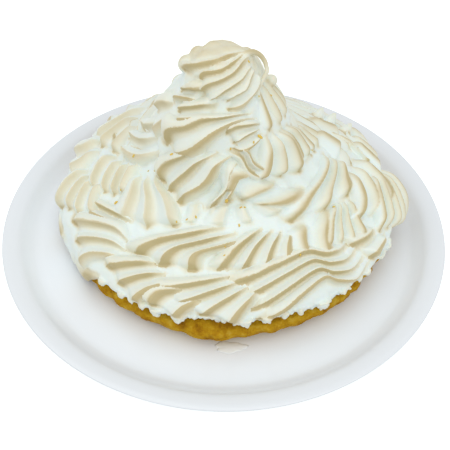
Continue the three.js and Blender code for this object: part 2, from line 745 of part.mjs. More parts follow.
export default pie;
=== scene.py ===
"""Lemon meringue pie on its round plate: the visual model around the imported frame.

The pieces are in metres in the row's frame: the origin is the plate's centre on the surface
that it stands on, +Z is up and -Y is the front. Sizes are written in millimetres and a finished
mesh is scaled by MM. Azimuths are in degrees from the front, and 90 is the right.
"""
import math

import bpy
import numpy as np
from mathutils import Matrix, Vector, noise
from mathutils.bvhtree import BVHTree


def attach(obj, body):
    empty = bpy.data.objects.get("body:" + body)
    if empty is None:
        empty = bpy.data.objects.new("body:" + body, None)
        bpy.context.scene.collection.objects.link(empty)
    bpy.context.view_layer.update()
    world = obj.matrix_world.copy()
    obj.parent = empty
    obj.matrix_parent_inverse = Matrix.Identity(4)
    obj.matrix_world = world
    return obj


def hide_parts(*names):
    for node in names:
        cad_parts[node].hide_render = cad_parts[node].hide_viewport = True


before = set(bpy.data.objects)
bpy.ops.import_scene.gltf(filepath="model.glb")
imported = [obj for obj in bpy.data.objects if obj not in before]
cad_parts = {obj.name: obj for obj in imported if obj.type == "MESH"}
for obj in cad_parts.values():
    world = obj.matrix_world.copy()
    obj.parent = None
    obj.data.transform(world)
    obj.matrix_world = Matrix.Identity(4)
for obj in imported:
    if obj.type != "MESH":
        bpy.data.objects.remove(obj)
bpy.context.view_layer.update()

MM = 0.001

# ---------------- camera

CAMERA_DISTANCE = 0.520
CAMERA_ELEVATION = math.radians(46.58)
CAMERA_ROLL = math.radians(1.03)
CAMERA_PAN = math.radians(0.075)
CAMERA_TILT = math.radians(0.49)
SENSOR_MM = 36.0
LENS_MM = 57.92


def linked(name, data):
    """A new object of the data, in the scene."""
    obj = bpy.data.objects.new(name, data)
    bpy.context.scene.collection.objects.link(obj)
    return obj


def camera():
    """The photograph's viewing angle, aimed at the plate's centre but for a small pan and tilt."""
    back = Vector((0, -math.cos(CAMERA_ELEVATION), math.sin(CAMERA_ELEVATION)))
    right = Vector((1, 0, 0))
    up = right.cross(-back)
    forward = (-back + math.tan(CAMERA_PAN) * right + math.tan(CAMERA_TILT) * up).normalized()
    right = forward.cross(Vector((0, 0, 1))).normalized()
    up = right.cross(forward)
    roll = Matrix.Rotation(CAMERA_ROLL, 3, -forward)
    data = bpy.data.cameras.new("camera")
    data.sensor_width = SENSOR_MM
    data.lens = LENS_MM
    obj = linked("camera", data)
    axes = Matrix((right, up, -forward)).transposed()
    obj.matrix_world = Matrix.Translation(back * CAMERA_DISTANCE) @ (roll @ axes).to_4x4()
    bpy.context.scene.camera = obj


# ---------------- mesh helpers

SCATTER_STEP, SCATTER_START, SCATTER_GAIN = 12.9898, 4.1, 43758.5453


def scatter(index):
    """A repeatable draw between -1 and 1 for each number."""
    wave = math.sin(index * SCATTER_STEP + SCATTER_START) * SCATTER_GAIN
    return 2 * (wave - math.floor(wave)) - 1


def smoothstep(x, low, high):
    """A smooth climb from 0 where x is low to 1 where it is high."""
    t = np.clip((x - low) / (high - low), 0, 1)
    return t * t * (3 - 2 * t)


def mesh_object(name, points, faces):
    """A smooth mesh object from points in metres and a list of faces."""
    mesh = bpy.data.meshes.new(name)
    mesh.from_pydata([tuple(p) for p in points], [], faces)
    mesh.update()
    mesh.shade_smooth()
    return linked(name, mesh)


def grid_faces(rows, columns, offset=0, wrap=False):
    """Quads of a grid of points, whose columns close on themselves where wrap is true."""
    faces = []
    for i in range(rows - 1):
        for j in range(columns if wrap else columns - 1):
            k = (j + 1) % columns
            a, b = offset + i * columns, offset + (i + 1) * columns
            faces.append((a + j, a + k, b + k, b + j))
    return faces


def fanned_faces(rows, columns):
    """Faces of a stack of rings, closed by fans round the two points that follow them."""
    faces = grid_faces(rows, columns, wrap=True)
    low, last = rows * columns, (rows - 1) * columns
    for j in range(columns):
        k = (j + 1) % columns
        faces += [(k, j, low), (last + j, last + k, low + 1)]
    return faces


def capped_faces(rows, columns):
    """Faces of a stack of rings, closed by one face at each end."""
    ends = [range(columns - 1, -1, -1), range((rows - 1) * columns, rows * columns)]
    return grid_faces(rows, columns, wrap=True) + [tuple(end) for end in ends]


def turned(name, profile, segments, wobble=None):
    """A closed turned mesh from a profile of (radius, height) in mm, from the axis to the axis."""
    angles = np.linspace(0, 2 * math.pi, segments, endpoint=False)
    rings = []
    for radius, height in profile[1:-1]:
        r, z = np.full(segments, radius), np.full(segments, height)
        if wobble:
            r, z = wobble(angles, r, z)
        rings.append(np.stack([r * np.sin(angles), -r * np.cos(angles), z], axis=1))
    ends = [[0, 0, profile[0][1]], [0, 0, profile[-1][1]]]
    points = np.concatenate([*rings, ends])
    return mesh_object(name, points * MM, fanned_faces(len(rings), segments))


# ---------------- the meringue's skin

PIE_X, PIE_Y = 4.0, 14.0
# The mound leans to the left between two heights.
HEM_AXIS_X, PEAK_AXIS_X = PIE_X, -2.5
LEAN_FROM, LEAN_TO = 30.0, 105.0
SKIN_SAMPLES = 4001
SKIN_PROFILE = [
    # radius, height: from the hem over the shoulder and up the mound to the peak
    (109, 18.5), (116, 24), (118.5, 30), (113.5, 37.5), (95, 48), (73, 60), (53.5, 74),
    (43, 95), (38.5, 106), (26.5, 121), (23.5, 128.5), (18, 134.5), (9.5, 138.5), (0, 139.5),
]
# The hem hangs over the crust at the left: span and fade in azimuth, reach up from the hem.
DRAPE_SPAN, DRAPE_FADE, DRAPE_REACH = (-105.0, -53.0), 9.0, 28.0
DRAPE_DROP, DRAPE_PUSH, DRAPE_FLATTENING = 12.0, 4.0, 0.6
# Where the hem is drawn in: span and fade in azimuth, reach up from the hem, depth.
TUCKS = [((4, 72), 26, 34, 4), ((102, 158), 18, 80, 9.5)]


def catmull_rom(points, share):
    """Points of the uniform Catmull-Rom curve through points, at an array of shares 0 to 1."""
    points = np.asarray(points, float)
    last = len(points) - 1
    place = np.clip(share, 0, 1) * last
    span = np.minimum(np.floor(place).astype(int), last - 1)
    t = (place - span)[..., None]
    p0, p1 = points[np.maximum(span - 1, 0)], points[span]
    p2, p3 = points[span + 1], points[np.minimum(span + 2, last)]
    v0, v1 = (p2 - p0) / 2, (p3 - p1) / 2
    cubic, square = 2 * p1 - 2 * p2 + v0 + v1, 3 * p2 - 3 * p1 - 2 * v0 - v1
    return cubic * t**3 + square * t**2 + v0 * t + p1


skin_line = catmull_rom(SKIN_PROFILE, np.linspace(0, 1, SKIN_SAMPLES))
skin_arcs = np.concatenate([[0], np.cumsum(np.hypot(*np.diff(skin_line, axis=0).T))])
skin_slopes = np.gradient(skin_line, skin_arcs, axis=0)
SKIN_LENGTH = skin_arcs[-1]


def axis_x(height):
    """The x of the pie's leaning axis at a height."""
    return HEM_AXIS_X + (PEAK_AXIS_X - HEM_AXIS_X) * smoothstep(height, LEAN_FROM, LEAN_TO)


def hem_share(azimuth, arc, span, fade, reach):
    """How much of a change in the hem a place takes, from 1 in the span to 0 past its fade."""
    azimuth = (azimuth + 180) % 360 - 180
    begun = smoothstep(azimuth, span[0] - fade, span[0])
    ended = smoothstep(azimuth, span[1], span[1] + fade)
    return begun * (1 - ended) * (1 - smoothstep(arc, 0, reach))


def skin_point(azimuth, arc, lift):
    """Points of the skin in mm, at azimuths in degrees, arcs up from the hem and lifts."""
    given = [np.asarray(values, float) for values in (azimuth, arc, lift)]
    azimuth, arc, lift = np.broadcast_arrays(*given)
    drape = hem_share(azimuth, arc, DRAPE_SPAN, DRAPE_FADE, DRAPE_REACH)
    tuck = sum(depth * hem_share(azimuth, arc, *place) for *place, depth in TUCKS)
    out = lift * (1 - DRAPE_FLATTENING * drape)
    within = np.clip(arc, 0, SKIN_LENGTH)
    lines = *skin_line.T, *skin_slopes.T
    radius, height, along_r, along_z = (np.interp(within, skin_arcs, line) for line in lines)
    radius = radius + out * along_z
    height = height - out * along_r
    reach = radius + DRAPE_PUSH * drape - tuck
    angle = np.radians(azimuth)
    x, y = axis_x(height) + reach * np.sin(angle), PIE_Y - reach * np.cos(angle)
    return np.stack([x, y, height - DRAPE_DROP * drape], axis=-1)


# ---------------- piped strokes

# How far the crests, the edges, the undersides and the core stand out from the skin.
CREST_LIFT, EDGE_LIFT, BASE_LIFT, CORE_LIFT = 4.0, -7.0, -11.0, -2.0
FLUTE_DEPTH, LOBE_DEPTH = 4.3, 5.4
CREST_SCATTER = 0.08
# Across a stroke, in ridges.
UPPER_MARGIN, LOWER_MARGIN = 0.85, 0.55
FLUTE_LEAN, LOBE_LEAN = 0.05, 0.1
FLUTE_FLOOR, LOBE_SKEW, LOBE_SHARPNESS = 0.4, 0.75, 2.5
# Along a stroke, as shares of its length.
TIP_NOTCH, TIP_SCATTER, TIP_REACH, TIP_ROUNDING = 0.04, 0.05, 0.1, 0.24
TAIL_REACH, TAIL_ROUNDING = 0.06, 0.35
TIP_BLUNTNESS, TAIL_DROP = 0.8, 0.1
# The grid of a stroke's faces.
ROWS, COLUMNS_PER_RIDGE, MARGIN_COLUMNS = 33, 12, 8
# Its toast: the fade along it of the bands of toast and painted shade, the even toast of its tip,
# and the crowns of lobes.
BAND_FADE_FROM, TAIL_BANDS = 0.55, 0.15
TIP_TOAST, TIP_TOAST_REACH = 0.6, 0.12
LOBE_TOAST, CROWN_SHARPNESS, CROWN_FADE = 1.1, 0.7, (0.05, 0.5)
UPPER_PHASE = 0.25


def stroke(ridges, *paths, lift=0.0, lobed=False, seed=0, toast=1.0, taper=0.0, tail=TAIL_ROUNDING):
    """One piped stroke, whose ridges are spread evenly over paths of [azimuth, arc] points.

    Lobed strokes have rounded ridges, taper makes the grooves shallower towards the tail, and
    tail is the share of the length over which the stroke comes down at its end. Toast scales
    the bands of toast and painted shade, or the toast on a lobed stroke's crowns.
    """
    looks = dict(lobed=lobed, toast=toast, taper=taper, tail=tail)
    return dict(ridges=ridges, paths=paths, lift=lift, seed=seed, **looks)


def lobes(ridges, *paths, **settings):
    """One lobed stroke."""
    return stroke(ridges, *paths, lobed=True, **settings)


def path_point(path, share):
    """Points at shares of a path, which runs on straight past its ends."""
    inside = np.clip(share, 0, 1)
    points = catmull_rom(path, inside)
    path = np.asarray(path, float)
    beyond = ((share - inside) * (len(path) - 1))[..., None]
    before, after = beyond * (path[1] - path[0]), beyond * (path[-1] - path[-2])
    return points + np.where(share[..., None] < 0, before, after)


def stroke_place(s, share, across):
    """Azimuths and arcs at shares of a stroke's length and places across its ridges."""
    ridge = np.arange(-1, s["ridges"] + 1)
    seed = s["paths"][0][0][0], s["paths"][-1][0][1]
    late = [TIP_SCATTER * scatter(3 * k + seed[0] + seed[1]) for k in ridge]
    start = -TIP_REACH + np.interp(across, ridge, late)
    along = start + (1 + TAIL_REACH - start) * share
    spans = len(s["paths"]) - 1
    turn = across / (s["ridges"] - 1) * spans
    before = np.clip(np.floor(turn), 0, spans - 1)
    points = np.stack([path_point(path, along) for path in s["paths"]])
    path = before.astype(int)[None, ..., None]
    t = (turn - before)[..., None]
    this, following = (np.take_along_axis(points, k, 0)[0] for k in (path, path + 1))
    place = this * (1 - t) + following * t
    return place[..., 0], place[..., 1]


def stroke_sheets(s):
    """A stroke's upper and lower faces as grids of points in mm, and the upper one's looks."""
    last_ridge = s["ridges"] - 1
    inner = np.linspace(0, last_ridge, last_ridge * COLUMNS_PER_RIDGE + 1)
    margin = np.linspace(0, 1, MARGIN_COLUMNS + 1)[1:]
    upper_columns, lower_columns = -UPPER_MARGIN * margin[::-1], last_ridge + LOWER_MARGIN * margin
    columns = np.concatenate([upper_columns, inner, lower_columns])
    share, across = np.meshgrid(np.linspace(0, 1, ROWS), columns, indexing="ij")

    below = across - np.floor(across)
    above, past = np.maximum(-across, 0), np.maximum(across - last_ridge, 0)
    beyond = above / UPPER_MARGIN + past / LOWER_MARGIN
    groove = lobe_groove(below) if s["lobed"] else flute_groove(below)
    groove = np.where(beyond > 0, 0, groove)
    tip = np.sin(np.pi / 2 * np.minimum(share / TIP_ROUNDING, 1)) ** TIP_BLUNTNESS
    tail = smoothstep(1 - share, 0, s["tail"])
    rise = tip * tail * (1 - TAIL_DROP * share**2) * np.sqrt(np.clip(1 - beyond**2, 0, 1))
    seed = 10 * s["seed"] + s["paths"][0][0][0]
    ridge_scatter = np.array([scatter(k + seed) for k in range(s["ridges"])])
    nearest = np.clip(np.round(across), 0, last_ridge).astype(int)
    depth, lean = (LOBE_DEPTH, LOBE_LEAN) if s["lobed"] else (FLUTE_DEPTH, FLUTE_LEAN)
    height = (CREST_LIFT + s["lift"] - EDGE_LIFT) * (1 + CREST_SCATTER * ridge_scatter[nearest])
    height = height - depth * groove * (1 - s["taper"] * share)
    notched = TIP_NOTCH * groove + share * (1 - TIP_NOTCH * groove)
    azimuth, arc = stroke_place(s, notched, across + lean * (1 - groove) * rise)
    upper = skin_point(azimuth, arc, EDGE_LIFT + height * rise)
    azimuth, arc = stroke_place(s, share, across)
    return upper, skin_point(azimuth, arc, BASE_LIFT), stroke_looks(s, share, across, below)


def flute_groove(below):
    """A flute's depth of 0 to 1 between two crests: a steep drop and a long rise to the next."""
    drop = np.sin(np.pi / 2 * below / FLUTE_FLOOR)
    left = (1 - below) / (1 - FLUTE_FLOOR)
    climb = 0.5 * np.sin(np.pi / 2 * left) + 0.25 * (1 - np.cos(np.pi * left))
    return np.where(below < FLUTE_FLOOR, drop, climb)


def lobe_groove(below):
    """The narrower groove between two rounded lobes."""
    return np.sin(np.pi * below**LOBE_SKEW) ** LOBE_SHARPNESS


def stroke_looks(s, share, across, below):
    """Each point's even toast, the strength of its bands, and the bands' phase as x and y.

    The phase runs from 0 just past a crest to 1 at the next. The material draws the bands:
    toast on the crests and painted shade just under each crest.
    """
    last_ridge = s["ridges"] - 1
    past = np.maximum(across - last_ridge, 0)
    phase = np.where(across < 0, 1 + UPPER_PHASE * across, np.where(past > 0, past, below))
    near = 1 - smoothstep(share, BAND_FADE_FROM, 1.0)
    # The strength of the bands of toast and painted shade.
    strength = (TAIL_BANDS + (1 - TAIL_BANDS) * near) * s["toast"]
    even = (1 - smoothstep(share, 0.0, TIP_TOAST_REACH)) * TIP_TOAST
    if s["lobed"]:
        beside = np.maximum(-across, past)
        between = 1 - np.sin(np.pi * below**LOBE_SKEW) ** CROWN_SHARPNESS
        crown = np.where(beside > 0, 1 - smoothstep(beside, *CROWN_FADE), between)
        even = np.maximum(even, crown * strength * LOBE_TOAST)
        strength = np.zeros_like(strength)
    turn = 2 * np.pi * phase
    return np.stack([even, strength, np.cos(turn), np.sin(turn)], axis=-1)


def closed_sheet(upper, lower):
    """Points and faces of one closed mesh from two grids."""
    rows, columns = upper.shape[:2]
    count = rows * columns
    faces = grid_faces(rows, columns)
    faces += [tuple(reversed(f)) for f in grid_faces(rows, columns, count)]
    edge = list(range(columns))
    edge += [i * columns + columns - 1 for i in range(1, rows)]
    edge += [(rows - 1) * columns + j for j in range(columns - 2, -1, -1)]
    edge += [i * columns for i in range(rows - 2, 0, -1)]
    for a, b in zip(edge, edge[1:] + edge[:1]):
        faces.append((b, a, a + count, b + count))
    return np.concatenate([upper.reshape(-1, 3), lower.reshape(-1, 3)]), faces


# The strokes that show from the front, from the hem up to the peak.
FRONT_STROKES = [
    # hem, from the back left round to the back right
    stroke(
        3, [[-112, 34], [-122, 44], [-140, 52]], [[-97, 62], [-106, 68], [-118, 74]], toast=0.65,
    ),
    stroke(2, [[-107, 18], [-105, 32], [-110, 44]], [[-94, 27], [-95, 38], [-102, 50]], toast=0.65),
    stroke(4, [[-80, 18], [-86, 31], [-90, 45]], [[-64, 41], [-72, 48], [-77, 57]], toast=0.65),
    stroke(2, [[-68, 47], [-57, 55], [-44, 61]], [[-66, 41], [-56, 49], [-43, 55]], lift=-1.5),
    stroke(
        3,
        [[-66, 30], [-56, 44], [-47, 50], [-39, 46]],
        [[-54, 19], [-50, 28], [-44, 35], [-38, 38]],
        toast=0.9,
    ),
    lobes(2, [[-76, 4], [-73, 12], [-70, 19]], [[-56, 3], [-53, 12], [-50, 20]], lift=-4),
    stroke(3, [[-43, 28], [-35, 38], [-26, 46]], [[-30, 19], [-26, 29], [-18, 39]], toast=1.2),
    stroke(
        2, [[-24, 20], [-22, 29], [-12, 37]], [[-17, 18], [-14, 25], [-7, 33]], lift=-1, toast=1.2,
    ),
    stroke(4, [[-23, 31], [-12, 39], [4, 48]], [[-1, 17], [3, 26], [10, 38]], toast=1.2),
    stroke(
        4,
        [[4, 43], [18, 49], [31, 51], [38, 44], [45, 42], [55, 45]],
        [[13, 20], [23, 29], [32, 33], [36, 27], [44, 21], [56, 25]],
        toast=1.2,
    ),
    stroke(2, [[50, 40], [57, 36], [64, 35]], [[53, 26], [58, 26], [65, 26]], lift=-1),
    lobes(5, [[65, 31], [77, 40], [91, 47]], [[76, 9], [86, 21], [98, 34]], lift=2),
    lobes(3, [[97, 26], [104, 35], [112, 46]], [[112, 12], [118, 22], [124, 34]]),
    # middle
    stroke(
        3, [[-36, 45], [-29, 58], [-14, 70], [2, 78]], [[-15, 48], [-13, 57], [0, 65], [12, 70]],
        lift=1, toast=1.2,
    ),
    stroke(4, [[-3, 51], [6, 65], [20, 75]], [[22, 50], [25, 59], [30, 67]], toast=1.2),
    lobes(2, [[31, 51], [33, 59], [38, 69]], [[38, 45], [42, 55], [54, 68]]),
    lobes(4, [[41, 47], [50, 58], [62, 65]], [[56, 38], [60, 49], [69, 60]]),
    lobes(3, [[61, 46], [72, 51], [86, 67]], [[77, 30], [87, 40], [97, 56]], lift=1),
    lobes(3, [[38, 73], [52, 78], [78, 79], [93, 82]], [[68, 60], [74, 65], [84, 68], [91, 71]]),
    stroke(4, [[-76, 49], [-86, 56], [-93, 67]], [[-62, 67], [-68, 77], [-74, 86]], toast=0.65),
    stroke(3, [[-51, 57], [-56, 72], [-66, 85]], [[-28, 70], [-37, 83], [-58, 92]], toast=0.65),
    lobes(2, [[-19, 75], [-17, 82], [-18, 91]], [[-9, 77], [-8, 83], [-6, 91]], lift=-4, toast=0.4),
    lobes(3, [[-4, 76], [-2, 84], [3, 92]], [[27, 79], [22, 84], [18, 90]], lift=-3, toast=0.4),
    lobes(2, [[99, 64], [103, 74], [108, 86]], [[114, 55], [117, 68], [122, 82]]),
    lobes(2, [[97, 39], [102, 46], [108, 56]], [[105, 48], [108, 57], [112, 67]]),
    # foot of the mound
    stroke(
        3, [[-112, 84], [-98, 100], [-66, 126]], [[-92, 76], [-76, 89], [-57, 111]],
        lift=1, toast=0.75,
    ),
    stroke(
        3,
        [[-48, 92], [-45, 104], [-30, 116], [-12, 124]],
        [[-27, 89], [-13, 104], [-4, 116], [14, 121]],
        lift=2,
    ),
    stroke(
        2, [[-7, 89], [2, 100], [6, 111], [16, 116]], [[1, 92], [7, 101], [12, 108], [21, 110]],
        lift=1,
    ),
    lobes(3, [[3, 97], [9, 107], [24, 107]], [[20, 87], [35, 84], [53, 87]], lift=1),
    stroke(
        2, [[28, 102], [19, 109], [14, 119], [2, 123]], [[31, 106], [23, 113], [19, 122], [7, 127]],
        lift=1,
    ),
    lobes(3, [[28, 102], [36, 110], [46, 129]], [[58, 94], [63, 108], [59, 125]], lift=1),
    lobes(2, [[66, 95], [70, 107], [64, 125]], [[77, 92], [80, 105], [74, 122]], lift=-1),
    lobes(3, [[86, 88], [89, 100], [84, 117]], [[104, 81], [107, 92], [106, 106]], lift=-2),
    lobes(4, [[50, 127], [56, 142], [66, 160]], [[94, 121], [98, 138], [104, 156]], lift=-3.5),
    # mound
    stroke(
        2, [[-92, 123], [-80, 133], [-60, 142]], [[-76, 114], [-67, 124], [-55, 135]],
        lift=-1, toast=0.8,
    ),
    stroke(
        2,
        [[-54, 115], [-50, 127], [-34, 133], [-19, 140], [6, 143], [28, 143], [46, 140]],
        [[-40, 115], [-30, 120], [-17, 129], [-4, 136], [12, 140], [30, 140], [50, 135]],
        lift=1,
    ),
    stroke(
        3,
        [[4, 135], [14, 137], [30, 136], [46, 133]],
        [[12, 128], [20, 131], [30, 132], [42, 131]],
        [[11, 124], [21, 124], [32, 127], [40, 129]],
    ),
    stroke(
        2,
        [[-50, 140], [-40, 144], [-20, 149], [0, 151]],
        [[-46, 135], [-36, 138], [-24, 141], [-6, 143]],
    ),
    stroke(
        2,
        [[-66, 149], [-50, 155], [-36, 157], [-20, 159]],
        [[-68, 143], [-55, 147], [-40, 150], [-26, 150]],
    ),
    # cap: ridges that run together where the strand is pulled off
    stroke(
        6,
        [[-92, 158], [-62, 167], [-30, 174], [25, 179], [80, 176], [95, 167]],
        [[-42, 163], [-33, 167], [-5, 170], [30, 174], [75, 174], [93, 167]],
        [[-32, 156], [-21, 161], [-3, 164], [18, 167], [45, 171], [73, 171], [88, 166]],
        [[-23, 150], [-12, 154], [0, 158], [15, 161], [31, 163], [52, 166], [83, 165]],
        [[8, 153], [15, 156], [24, 157], [34, 158], [46, 162], [60, 164], [78, 164]],
        [[10, 148], [22, 149], [33, 151], [46, 154], [60, 158], [72, 163]],
        toast=0.8, taper=0.5, tail=0.2,
    ),
]


COURSE_RIDGES, COURSE_LIFT = 3, -3
COURSE_SCATTER, PITCH_SCATTER = 3, 0.15
# A stroke's two edges: shares of its width and its sweep in azimuth, and a shift in arc.
COURSE_EDGES = (
    ((0, 0, 9), (0, 0.35, 8), (0, 1, 0)),
    ((1, 0, -5), (1, 0.3, -3), (0.5, 1, -5)),
)


def course(first_azimuth, last_azimuth, count, tip_arc, tail_arc, width, sweep, seed):
    """A course of like strokes round the back, between two azimuths."""
    pitch = (last_azimuth - first_azimuth) / count
    strokes = []
    for i in range(count):
        azimuth = first_azimuth + pitch * (i + PITCH_SCATTER * scatter(seed + i))
        low = tip_arc + COURSE_SCATTER * scatter(seed + 20 + i)
        high = tail_arc + COURSE_SCATTER * scatter(seed + 40 + i)
        middle = (low + high) / 2 + COURSE_SCATTER * scatter(seed + 60 + i)
        edges = [
            [
                [azimuth + across * width + along * sweep, arc + shift]
                for (across, along, shift), arc in zip(edge, (low, middle, high))
            ]
            for edge in COURSE_EDGES
        ]
        strokes.append(stroke(COURSE_RIDGES, *edges, lift=COURSE_LIFT, seed=seed + i))
    return strokes


BACK_STROKES = [
    # azimuths, number, arcs of tips and tails, width, sweep, seed
    *course(100, 240, 6, 16, 48, 14, 26, 1),
    *course(92, 256, 5, 48, 82, 20, 40, 101),
    *course(76, 285, 4, 82, 114, 32, 60, 201),
    *course(100, 215, 2, 112, 136, 36, 80, 301),
    *course(90, 190, 2, 138, 164, 40, 90, 401),
]

# ---------------- plate and crust

CRUST_BASE_RADIUS, CRUST_RADIUS = 107.0, 118.0
CRUST_BOTTOM, CRUST_TOP = 6.8, 23.6
RIM_INNER_RADIUS = 109.0
ROUND_IN, ROUND_DOWN = 2.6, 4.2
CRUST_SEGMENTS, CRUST_STEP = 1000, 0.6
# The meringue's floor over the crust.
SEAT_GAP, SEAT_DROP, SEAT_MARGIN, NO_FLOOR = 0.15, 1.5, 0.4, -100
# The crimps start inside the rim and slant, in radians for each mm of height.
CRIMP_FROM, CRIMP_TO = RIM_INNER_RADIUS - 2, CRUST_RADIUS - 4
CRIMPS, CRIMP_DEPTH, CRIMP_DROP = 44, 2.4, 1.3
CRIMP_SLANT, CRIMP_CHANGE, CRIMP_SWAY = 0.1875, 0.25, 0.6
LUMP_GRAIN, LUMP_DEPTH, LUMP_DROP = 5.0, 0.9, 0.5
FLAKE_GRAIN, FLAKE_DEPTH = (3.2, 3.2, 1.3), 1.1
BULGE_FROM, BULGE_TO = 60, 105
CRUST_BULGES = [
    # azimuth, half width, size
    (-6, 8, 3.4), (-62, 12, -2.5), (26, 16, -1.2), (60, 26, -4.5), (112, 20, -6), (146, 18, -7),
]

PLATE_SEGMENTS = 256
# Where the painted shade on the plate's lip comes in, as radii in mm.
LIP_FROM, LIP_TO = 137.3, 142.3
PLATE_PROFILE = [
    # radius, height: the underside with its foot ring, the rim, the lip, the slope and the floor
    (0, 1.6), (88, 1.6), (89, 0.9), (90.4, 0.1), (94, 0), (97.6, 0.1), (99, 0.9), (100, 2.0),
    (128.9, 3.4), (137.3, 6.4), (151.2, 13.0), (152.1, 13.8), (152.5, 14.6), (152.2, 15.2),
    (151.2, 15.5), (148, 15.2), (144.3, 14.6), (141.8, 13.9), (140.3, 13.1), (138.8, 11.9),
    (136.9, 10.2), (133, 7.9), (130.6, 7.0), (127, 6.6), (120, 6.5), (0, 6.5),
]


def densely(profile, step):
    """A profile with points added so that none lie further apart than step."""
    points = [profile[0]]
    for (r0, z0), (r1, z1) in zip(profile, profile[1:]):
        pieces = max(1, round(math.hypot(r1 - r0, z1 - z0) / step))
        for i in range(1, pieces + 1):
            points.append((r0 + (r1 - r0) * i / pieces, z0 + (z1 - z0) * i / pieces))
    return points


def plate():
    """The round plate, with how far each point is up its lip, for the painted shade there."""
    obj = turned("plate_glazed", PLATE_PROFILE, PLATE_SEGMENTS)
    radius = np.array([math.hypot(v.co.x, v.co.y) for v in obj.data.vertices]) / MM
    add_attribute(obj, "lip", smoothstep(radius, LIP_FROM, LIP_TO))
    obj.data.materials.append(plate_material())
    return obj


def bulge(azimuth):
    """How far the crust stands outside its circle at azimuths in degrees."""
    return sum(
        size * np.exp(-(((azimuth - middle) / half_width) ** 2))
        for middle, half_width, size in CRUST_BULGES
    )


def crumbly(angles, radius, height):
    """One ring of the crust, crimped, flaky and uneven."""
    rim = smoothstep(radius, CRIMP_FROM, CRIMP_TO)
    turn = CRIMPS * angles + CRIMP_SLANT * (height - CRUST_BOTTOM)
    uneven = 1 - CRIMP_CHANGE + CRIMP_CHANGE * np.sin(5 * angles + 1) * np.sin(11 * angles)
    depth = uneven * (1 - np.cos(turn + CRIMP_SWAY * np.sin(7 * angles))) / 2
    spots = [Vector(v) for v in zip(radius * np.sin(angles), -radius * np.cos(angles), height)]
    lumps = np.array([noise.noise(v / LUMP_GRAIN) for v in spots])
    grains = [Vector([c / grain for c, grain in zip(v, FLAKE_GRAIN)]) for v in spots]
    flakes = np.array([abs(noise.noise(v)) for v in grains])
    inward = rim * (CRIMP_DEPTH * depth + LUMP_DEPTH * lumps + FLAKE_DEPTH * flakes)
    down = rim * np.maximum(CRIMP_DROP * depth + LUMP_DROP * lumps, 0)
    azimuth = (np.degrees(angles) + 180) % 360 - 180
    outward = bulge(azimuth) * smoothstep(radius, BULGE_FROM, BULGE_TO)
    return radius + outward - np.maximum(inward, 0), height - down


def crust():
    """The baked case with its crimped rim, one closed piece."""
    profile = [
        (0, CRUST_BOTTOM),
        (CRUST_BASE_RADIUS, CRUST_BOTTOM),
        (CRUST_RADIUS - 3.8, CRUST_BOTTOM + 5),
        (CRUST_RADIUS - 0.7, CRUST_BOTTOM + 9),
        (CRUST_RADIUS, CRUST_TOP - ROUND_DOWN),
        (CRUST_RADIUS - 0.8, CRUST_TOP - 2.2),
        (CRUST_RADIUS - ROUND_IN, CRUST_TOP - 1),
        (RIM_INNER_RADIUS, CRUST_TOP),
    ]
    fine = densely(profile[1:], CRUST_STEP)
    obj = turned("crust_baked", [profile[0], *fine, (0, CRUST_TOP)], CRUST_SEGMENTS, crumbly)
    obj.location = (PIE_X * MM, PIE_Y * MM, 0)
    obj.data.materials.append(crust_material())
    return obj


# ---------------- the meringue

VOXEL, TRIANGLES = 0.8, 194000
MERINGUE_TOP = 142.0
# The core under the strokes: its grid, folds and cap.
CORE_COLUMNS, CORE_ROWS, CORE_OPENING = 240, 130, 1.5
BROAD_FOLD, FINE_FOLD, FINE_FOLD_SHARE = 16, 7, 0.5
FOLD_DEPTH, FOLD_LEVEL = 1.6, 0.8
CAP_RISE, CAP_FROM, CAP_TO = 4.0, 160.0, 174.0
# Round bars, balls, and bars that end sharp.
TUBE_SIDES, BALL_ROWS, BALL_SIDES = 12, 9, 16
POINT_ROWS, POINT_END = 6, 1.02
# The hanging points: their place, scatter, and sizes as the least and a gain.
HEM_POINTS, HEM_FROM, HEM_TO = 32, -44.0, 92.0
HEM_ROOT_ARC, HEM_TIP_ARC = 17.0, 6.5
HEM_ROOT_LIFT, HEM_RISE, HEM_FALL = -2, 4.2, 2.4
HEM_SCATTER, HEM_TURN, HEM_POWER = 1.1, 2.2, 1.5
HEM_LENGTHS, HEM_RADII, HEM_TAPER = (0.35, 0.9), (2.4, 3.2), 1.1
# The torn band above the hem at the front.
TORN_SPAN, TORN_FADE, TORN_FROM, TORN_REACH = (-14.0, 36.0), 12.0, 24.0, 12.0
TORN_GRAIN, TORN_DEPTH = 2.2, 2.4
# The strand pulled off the cap, and the knob under it.
HOOK_RADIUS, HOOK_START, HOOK_TAPER, HOOK_ROWS = 1.8, 1.1, 0.4, 24
HOOK_STATIONS = [
    # azimuth, arc, lift
    (70, 175, 1), (92, 170, 4), (96, 163, 4.2), (88, 157, 3), (70, 156, 1.5), (56, 153, 1),
    (52, 147, 0),
]
KNOB_PLACE, KNOB_RADIUS = (94, 146, 1.5), 4.0
# The pointed ends at the back right, at an azimuth and an arc.
SPIKES = [(129, 59), (126, 48), (119, 40)]
SPIKE_RADIUS, SPIKE_LENGTH, SPIKE_ROOT = 6.0, 10.0, 2
SPIKE_SLANT, SPIKE_TAPER = 4, 0.8
# The bumps on the far edge of the cap: x, y, z and radius.
SCALLOPS = [
    (-24, 19, 127.5, 6), (-17, 21, 132.5, 6), (-8, 22, 135, 6.5), (2, 22, 135, 6), (11, 20, 133, 6),
]
# The finish of the remeshed surface.
SNAP, SHARPNESS = 0.7, 0.6
FINE_ROUNDS, BROAD_ROUNDS = 12, 60
FINE_RELIEF, BROAD_RELIEF, FINE_SHARE = 0.5, 1.6, 0.6
